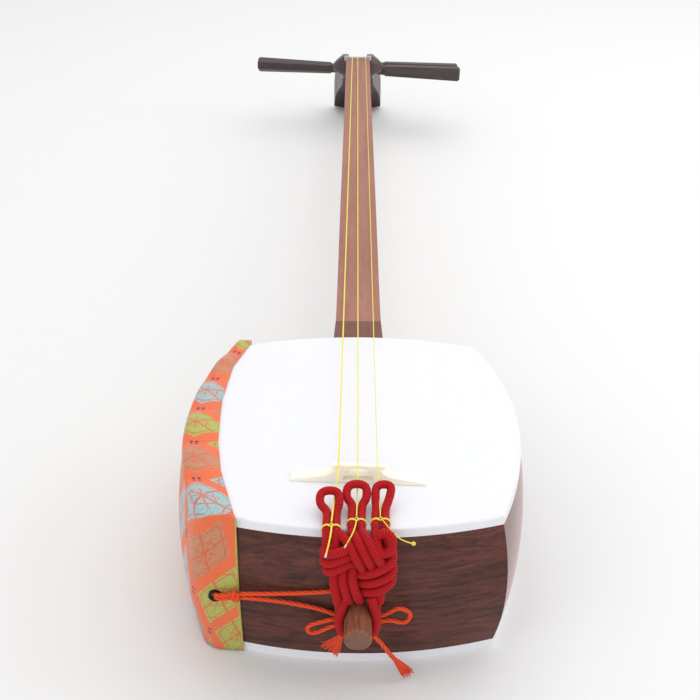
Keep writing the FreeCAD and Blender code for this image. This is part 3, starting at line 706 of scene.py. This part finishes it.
class SHAMISEN_OT_body(Operator):
    """Finish the wooden sides, both skins, the cover's board and its eyelets"""
    bl_idname = "shamisen.body"
    bl_label = "Body"

    def execute(self, context):
        tones = context.scene.shamisen_colours
        dull = {"Specular_IOR_Level": 0.28, "Coat_Weight": 0.06}
        across = wood("body_wood_across", tones.body_light, tones.body_dark, (52, 110, 340), 0.9, 0.5, **dull)
        for node in ("side_head", "side_tail"):
            dress(node, across)
        polish = {"Specular_IOR_Level": 0.6, "Coat_Weight": 0.7, "Coat_Roughness": 0.42, "Sheen_Weight": 0.6,
                  "Sheen_Roughness": 0.35, "Sheen_Tint": (1.0, 0.78, 0.77, 1.0)}
        along = wood("body_wood_polished", tones.body_light, tones.body_dark, (110, 52, 340), 0.9, 0.5, **polish)
        for node in ("side_left", "side_right"):
            dress(node, along)
        skin = smooth_finish("skin", tones.skin, 0.5, 900.0, 0.03, 0.05, Subsurface_Weight=0.1,
                             Subsurface_Scale=0.001)
        for node in ("skin_front", "skin_back"):
            dress(node, skin)
        metal = smooth_finish("black_metal", (0.02, 0.02, 0.022), 0.32, 700.0, 0.2, 0.05, Metallic=0.8)
        dress("eyelets", metal)
        dress("arm_board", smooth_finish("board", (0.44, 0.46, 0.11), 0.8, 900.0, 0.2, 0.2))
        return {"FINISHED"}


class SHAMISEN_OT_neck(Operator):
    """Finish the neck, its dowel, the nut, the head and the pegs"""
    bl_idname = "shamisen.neck"
    bl_label = "Neck and head"

    def execute(self, context):
        tones = context.scene.shamisen_colours
        grain = (330, 42, 330)
        board = wood("neck_wood", tones.neck_light, tones.neck_dark, grain, 0.55, 0.2,
                     Specular_IOR_Level=0.35)
        foot = wood("neck_foot_wood", tones.neck_light, tones.neck_dark, grain, 0.55, 0.2,
                    (0.111, (0.150, 0.062, 0.048), 0.45), Specular_IOR_Level=0.35)
        dress("neck_lower", foot)
        dress("neck_middle", board)
        dress("neck_upper", board)
        dress("neck_tongue", wood("dowel_wood", tones.dowel_light, tones.dowel_dark, (420, 60, 420), 0.5, 0.2,
                                  (-0.12755, (0.165, 0.088, 0.058), 0.40), Specular_IOR_Level=0.3))
        dress("nut", smooth_finish("nut", tones.nut, 0.3, 900.0, 0.15, 0.05, Coat_Weight=0.4))
        dress("head_block", wood("head_wood", tones.head_light, tones.head_dark, (200, 50, 110), 0.4, 0.4,
                                 Coat_Weight=0.55, Coat_Roughness=0.22))
        # the curled tip gets the head's wood at 0.7 of its brightness: painted shade for its shadowed face
        dress("head_tip", wood("head_tip_shaded_wood", tuple(c * 0.7 for c in tones.head_light),
                               tuple(c * 0.7 for c in tones.head_dark), (200, 50, 110), 0.4, 0.4,
                               Coat_Weight=0.3, Coat_Roughness=0.25))
        peg = wood("peg_wood", tones.peg_light, tones.peg_dark, (40, 330, 330), 0.5, 0.25, Coat_Weight=0.12,
                   Coat_Roughness=0.3)
        for name in ("peg_1", "peg_2", "peg_3"):
            dress(name, peg)
        return {"FINISHED"}


class SHAMISEN_OT_bridge(Operator):
    """Finish the pale bridge"""
    bl_idname = "shamisen.bridge"
    bl_label = "Bridge"

    def execute(self, context):
        tones = context.scene.shamisen_colours
        dress("bridge", smooth_finish("bridge", tones.ivory, 0.30, 700.0, 0.03, 0.03, Subsurface_Weight=0.25,
                                      Subsurface_Scale=0.006, Coat_Weight=0.2))
        return {"FINISHED"}


class SHAMISEN_OT_tailpiece(Operator):
    """Lay the red tailpiece: three loops, the woven knot and the legs round the dowel"""
    bl_idname = "shamisen.tailpiece"
    bl_label = "Tailpiece"

    def execute(self, context):
        sizes, tones = settings()
        lay = Lay(3, 0.0012, 0.03)
        # 0.45: the grooves of the red cord get painted shade at this share of its brightness
        red = cord_finish("red_cord", tones.red, 0.45, lay, sizes.red_cord)
        for name, route in LOOPS.items():
            o = tube("loop_" + name, [route], sizes.red_cord, 20, 36, lay)
            fit(o, red, "instrument", "red_cord", "neo_loop_" + name)
        # the tight cord in the knot has the same painted shade in its grooves
        tight = cord_finish("red_cord_tight", tones.red, 0.45, lay, sizes.knot_cord)
        strands = [route for part in KNOT.values() for route in part]
        o = tube("woven_knot", strands, sizes.knot_cord, 16, 28, lay)
        fit(o, tight, "instrument", "red_cord", "neo_knot")
        o = tube("dowel_legs", LEGS, sizes.red_cord, 16, 36, lay)
        fit(o, red, "instrument", "red_cord", "neo_collar")
        return {"FINISHED"}


# how each string is tied: middle of the legs, half their spacing, y of the turns
TIES = {"1": (-0.0136, 0.0024, -0.099), "2": (-0.001, 0.0024, -0.0944), "3": (0.01105, 0.00245, -0.094)}
# each peg: y and z of its axis, x of the string turns, string thickness
PEGS = {"1": (0.751, 0.075, -0.0055, 0.0009), "2": (0.785, 0.069, 0.0, 0.0007),
        "3": (0.768, 0.0698, 0.006, 0.00055)}
# which way each peg points, and how every peg leans towards the tail and down
PEG_WAY = {"1": 1, "2": 1, "3": -1}
PEG_SLANT = math.radians(5.0)
PEG_TILT = math.radians(1.1)
# radius of a peg under its string, the most that the turns take up along it, and points in a turn
PEG_RADIUS = 0.00485
WINDING_SPAN = 0.0042
TURN_POINTS = 12
# thickest string used for the turns of a tie, half a leg's thickness, and height of a leg's top
TIE_WIDTH = 0.00055
LEG_HALF = 0.0022
LEG_TOP = 0.0967


class SHAMISEN_OT_strings(Operator):
    """Finish the strings, tie them to the tailpiece and wind them on the pegs"""
    bl_idname = "shamisen.strings"
    bl_label = "Strings"

    def execute(self, context):
        sizes, tones = settings()
        silk = smooth_finish("string_silk", tones.string, 0.4, 4000.0, 0.16, 0.3, Specular_IOR_Level=0.4)
        pale = smooth_finish("string_end", (0.82, 0.82, 0.78), 0.4, 4000.0, 0.1, 0.2)
        for name in ("string_1", "string_2", "string_3"):
            dress(name, silk)
        for name, (cx, half, y) in TIES.items():
            self.tie(name, cx, half, y, PEGS[name][3], silk, pale)
        for name, (y, z, x, width) in PEGS.items():
            self.wind(name, PEG_WAY[name], y, z, x, width, sizes.turns, silk)
        return {"FINISHED"}

    def tie(self, name, cx, half, y, width, silk, pale):
        thin = min(width, TIE_WIDTH)
        w = half + LEG_HALF + thin * 0.45
        crest = LEG_TOP + thin * 0.5
        turns = []
        for step in (-0.55 * thin, 0.55 * thin):
            half_turn = [(w, 0.0930), (w + 0.0002, 0.0955), (half + 0.0006, crest + 0.0002),
                         (half - 0.0012, crest), (0.0003, 0.0960)]
            turns.append([(cx - x, y + step, z) for x, z in half_turn] +
                         [(cx + x, y + step, z) for x, z in reversed(half_turn)])
        turns.append([(cx - 0.0012, y - 0.0008, 0.0966), (cx - 0.0006, y + 0.0010, 0.0974),
                      (cx + 0.0010, y + 0.0004, 0.0974), (cx + 0.0007, y - 0.0011, 0.0972),
                      (cx - 0.0007, y - 0.0012, 0.0970)])
        tail = TIE_TAILS[name]
        o = tube("tie_" + name, turns, thin, 8, 10)
        fit(o, silk, "instrument", "yellow_string", "string_tie_" + name)
        o = tube("tie_tail_" + name, [tail], width, 8, 10)
        fit(o, silk, "instrument", "yellow_string", "string_tie_" + name)
        end = Vector(tail[-1])
        if name == "3":
            ring = [tuple(end + Vector((math.cos(k), 0.5 * math.sin(2 * k), math.sin(k))) * 0.0009)
                    for k in (0.0, 1.3, 2.6, 3.9, 5.2, 6.3)]
            o = tube("tie_end_3", [ring], 0.0009, 8, 6)
            fit(o, silk, "instrument", "yellow_string")
            return
        start = Vector(tail[-2]).lerp(end, 0.35 if name == "2" else 0.7)
        route = [tuple(start), tuple(start.lerp(end, 0.5)), tuple(end)]
        o = tube("tie_end_" + name, [route], width * 1.15, 8, 6)
        fit(o, pale, "instrument", "yellow_string")

    def wind(self, name, way, y, z, x, width, turns, silk):
        axis = Vector((math.cos(PEG_SLANT), -math.sin(PEG_SLANT), -math.sin(PEG_TILT))).normalized() * way
        side = axis.orthogonal().normalized()
        other = axis.cross(side)
        centre = Vector((0, y, z)) + axis * (x * way)
        span = min(WINDING_SPAN, width * turns)
        r = PEG_RADIUS + width / 2
        points = []
        for k in range(turns * TURN_POINTS + 1):
            t = k / (turns * TURN_POINTS)
            angle = 2 * math.pi * turns * t
            p = centre + axis * (span * (t - 0.5)) + (side * math.cos(angle) + other * math.sin(angle)) * r
            points.append(tuple(p))
        o = tube("turns_" + name, [points], width, 8, 4)
        fit(o, silk, "peg_" + name, "yellow_string", "winding_" + name)


def arc_through(a, m, b, steps):
    """Points from a to b on the circle through m, in the plane."""
    d = 2 * (a.x * (m.y - b.y) + m.x * (b.y - a.y) + b.x * (a.y - m.y))
    sa, sm, sb = a.length_squared, m.length_squared, b.length_squared
    c = Vector(((sa * (m.y - b.y) + sm * (b.y - a.y) + sb * (a.y - m.y)) / d,
                (sa * (b.x - m.x) + sm * (a.x - b.x) + sb * (m.x - a.x)) / d))
    start = (a - c).to_3d()
    end = (b - c).to_3d()
    angle = start.angle(end) * (1 if start.cross((m - a).to_3d()).z > 0 else -1)
    turn = [Matrix.Rotation(angle * i / steps, 2) for i in range(steps + 1)]
    return [c + t @ (a - c) for t in turn]


def along_line(points, share):
    """The point this share of the way along the line."""
    runs = run_lengths(points)
    want = runs[-1] * min(max(share, 0.0), 1.0)
    for i in range(len(points) - 1):
        if want <= runs[i + 1] + 1e-12:
            return points[i].lerp(points[i + 1], (want - runs[i]) / (runs[i + 1] - runs[i]))
    return points[-1].copy()


class SHAMISEN_OT_arm_cover(Operator):
    """Wrap the arm cover in brocade that turns over onto the skin"""
    bl_idname = "shamisen.arm_cover"
    bl_label = "Arm cover"

    def outline(self, out):
        """Stations round the cover from its tail edge to its far edge, standing out by out."""
        tail, corner, far, middle, end = (Vector(p) for p in COVER.values())
        tail += Vector((0, -out))
        corner += Vector((-out, -out))
        far += Vector((-out, out))
        middle += Vector((-out, 0))
        end += Vector((0, out))
        side = arc_through(corner, middle, far, 200)
        p = tail.lerp(corner, 0.62)
        q = side[10]
        mid = (p + q) * 0.22 + corner * 0.56
        mid = mid.lerp((corner + p + q) / 3, 0.12)
        start = tail.lerp(corner, 0.108)
        shares = [0.0, 0.03, 0.09] + [i / 10 for i in range(1, 10)]
        near = [start.lerp(p, share) for share in shares]
        bend = arc_through(p, mid, q, 14)[:-1]
        rest = [along_line(side[10:], i / 110) for i in range(111)]
        away = [far.lerp(end, 0.5 * i / 6) for i in range(1, 7)]
        return near + bend + rest + away

    def lip_share(self, share):
        for (a, x), (b, y) in zip(LIP_SHARES, LIP_SHARES[1:]):
            if share <= b:
                return x + (y - x) * (share - a) / (b - a)
        return 1.0

    def side_levels(self, out):
        """Heights up the side, each with the outline there, which follows the side's bulge."""
        levels = []
        for i in range(SIDE_STEPS + 1):
            z = CLOTH_LOW + (BODY_THICKNESS - BODY_RIM - CLOTH_LOW) * i / SIDE_STEPS
            k = (z - BODY_THICKNESS / 2) / (BODY_THICKNESS / 2 - BODY_RIM)
            levels.append((z, self.outline(out + max(BODY_BULGE * (1 - k * k), 0.0))))
        return levels

    def execute(self, context):
        sizes, tones = settings()
        out = sizes.cloth_out
        base = self.outline(out)
        runs = run_lengths(base)
        levels = self.side_levels(out)
        lip = [Vector(p) for p in LIP]
        columns, uvs = [], []
        radius, top = FOLD_RADIUS, BODY_THICKNESS + out
        for c, edge in enumerate(base):
            share = runs[c] / runs[-1]
            inner = along_line(lip, self.lip_share(share))
            column = [Vector((*ring[c], z)) for z, ring in levels]
            turn_over = top - radius + radius * math.pi / 12
            heights = [z - turn_over for z, ring in levels]
            inward = (inner - edge).normalized()
            reach = (inner - edge).length
            r = min(radius, reach * 0.4)
            # soft puckers where the flat cloth is drawn round the outer bend
            wave = abs(math.cos(math.pi * (runs[c] - sizes.cell_start) / sizes.cell_repeat))
            fade = min(1.0, share / 0.08, (1 - share) / 0.06)
            puff = sizes.pucker * (wave - 0.22) * fade
            for z in (BODY_THICKNESS - BODY_RIM + 0.001, top - radius):
                column.append(Vector((*edge, z)))
                heights.append(z - turn_over)
            for i in range(1, FOLD_STEPS + 1):
                a = math.pi / 2 * i / FOLD_STEPS
                p = edge + inward * (r - r * math.cos(a))
                column.append(Vector((*p, top - radius + radius * math.sin(a) + puff * math.sin(a) ** 2)))
                heights.append(radius * (a - math.pi / 12))
            start = edge + inward * r
            for i in range(1, LIP_STEPS + 1):
                f = i / LIP_STEPS
                p = start.lerp(inner, f)
                crown = 0.0008 * math.sin(math.pi * f) * fade + puff * (1 - f * f)
                column.append(Vector((*p, top + crown - 0.0004 * f)))
                heights.append(radius * math.pi * 5 / 12 + f * (reach - r))
            column.append(Vector((*(inner + inward * 0.00035), top - 0.0009)))
            column.append(Vector((*(inner + inward * 0.0002), BODY_THICKNESS + 0.0001)))
            heights += [heights[-1] + 0.001, heights[-1] + 0.002]
            columns.append(column)
            ease = min(max((0.040 - runs[c]) / 0.028, 0.0), 1.0)
            ease *= ease * (3 - 2 * ease)
            for v in heights:
                lean = (0.0100 + 0.35 * min(0.0, v)) * ease
                uvs.append((runs[c] + lean - sizes.cell_start, v - PATTERN_DROP))
        rows = len(columns[0])
        # the cloth turns in to the wood at its tail edge
        inset = Vector((0.0001, out * 0.95, 0))
        turned_in = len(levels) + 1
        first = [p + inset if i < turned_in else p.copy() for i, p in enumerate(columns[0])]
        columns.insert(0, first)
        uvs = uvs[:rows] + uvs
        verts = [p for column in columns for p in column]
        faces = []
        for c in range(len(columns) - 1):
            for i in range(rows - 1):
                a = c * rows + i
                faces.append((a, a + 1, a + 1 + rows, a + rows))
        o = mesh_object("brocade_cloth", verts, faces)
        layer = o.data.uv_layers.new(name="UVMap")
        for loop in o.data.loops:
            layer.data[loop.index].uv = uvs[loop.vertex_index]
        # the hem along the tail edge shows the green lining
        for f in o.data.polygons:
            if f.index < 2 * (rows - 1):
                for i in f.loop_indices:
                    layer.data[i].uv = (HEM_U, layer.data[i].uv.y)
        face = max(o.data.polygons, key=lambda f: -f.center.x)
        if face.normal.x > 0:
            o.data.flip_normals()
        shell = o.modifiers.new("thickness", "SOLIDIFY")
        shell.thickness = CLOTH_THICKNESS
        shell.offset = -1
        bpy.ops.object.select_all(action="DESELECT")
        context.view_layer.objects.active = o
        o.select_set(True)
        bpy.ops.object.modifier_apply(modifier="thickness")
        fit(o, brocade_finish(sizes, tones), "instrument", "brocade", "arm_cloth")
        return {"FINISHED"}


class SHAMISEN_OT_cover_cord(Operator):
    """Lace the orange cord from the eyelet to its bow, with its tassels"""
    bl_idname = "shamisen.cover_cord"
    bl_label = "Cover cord"

    def threads(self, name, root, tips, count, seed):
        rng = random.Random(seed)

        def shake(size):
            return Vector([rng.uniform(-size, size) for _ in range(3)])

        root = Vector(root)
        routes = []
        for _ in range(count):
            share = rng.random()
            tip = Vector(tips[0]).lerp(Vector(tips[1]), share)
            tip = root + (tip - root) * rng.uniform(0.72, 1.0)
            tip += shake(THREAD_SPREAD)
            tip.z = max(tip.z, 0.0006)
            start = root + shake(0.0007)
            mid = start.lerp(tip, 0.5) + shake(0.0006)
            routes.append([tuple(start), tuple(mid), tuple(tip)])
        return tube(name, routes, THREAD_WIDTH, 5, 4)

    def execute(self, context):
        sizes, tones = settings()
        width = sizes.orange_cord
        lay = Lay(3, 0.0042, 0.09)
        # 0.62: the grooves of the orange cord get painted shade at this share of its brightness
        rope = cord_finish("orange_cord", tones.orange, 0.62, lay, width)
        for name, route in CORDS.items():
            o = tube(name + "_rope", [route], width, 14, ROPE_FINENESS, lay)
            fit(o, rope, "instrument", "orange_cord", name)
        for name, routes in (("cord_pair", CORD_PAIR), ("cord_knot", CORD_WRAP), ("bow_knot", BOW_WRAP)):
            o = tube(name + "_rope", routes, width, 14, 14, lay)
            fit(o, rope, "instrument", "orange_cord", name)
        loose = smooth_finish("tassel_thread", tones.orange, 0.75, 3000.0, 0.45, 0.3)
        for name, (root, tips, seed) in TASSELS.items():
            o = self.threads("tassel_" + name + "_threads", root, tips, sizes.tassel_threads, seed)
            fit(o, loose, "instrument", "orange_cord", "tassel_" + name)
        for name in ("left", "right"):
            loop = "bow_loop_" + name
            line = smooth_line(CORDS[loop], ROPE_FINENESS)
        return {"FINISHED"}


PIECES = (SHAMISEN_OT_stage, SHAMISEN_OT_cover_cord, SHAMISEN_OT_tailpiece, SHAMISEN_OT_strings,
          SHAMISEN_OT_arm_cover, SHAMISEN_OT_body, SHAMISEN_OT_neck, SHAMISEN_OT_bridge)


class SHAMISEN_PT_panel(Panel):
    """Buttons for every piece of the shamisen"""
    bl_idname = "SHAMISEN_PT_panel"
    bl_label = "Shamisen"
    bl_space_type = "VIEW_3D"
    bl_region_type = "UI"
    bl_category = "Shamisen"

    def draw(self, context):
        for piece in PIECES:
            self.layout.operator(piece.bl_idname)


CLASSES = (ShamisenSizes, ShamisenColours) + PIECES + (SHAMISEN_PT_panel,)


def register():
    for c in CLASSES:
        bpy.utils.register_class(c)
    bpy.types.Scene.shamisen_sizes = PointerProperty(type=ShamisenSizes)
    bpy.types.Scene.shamisen_colours = PointerProperty(type=ShamisenColours)


def unregister():
    del bpy.types.Scene.shamisen_colours
    del bpy.types.Scene.shamisen_sizes
    for c in reversed(CLASSES):
        bpy.utils.unregister_class(c)


def main():
    register()
    bpy.ops.object.select_all(action="DESELECT")
    bpy.ops.shamisen.stage()
    bpy.ops.shamisen.cover_cord()
    bpy.ops.shamisen.tailpiece()
    bpy.ops.shamisen.strings()
    bpy.ops.shamisen.arm_cover()
    bpy.ops.shamisen.body()
    bpy.ops.shamisen.neck()
    bpy.ops.shamisen.bridge()


if __name__ == "__main__":
    main()
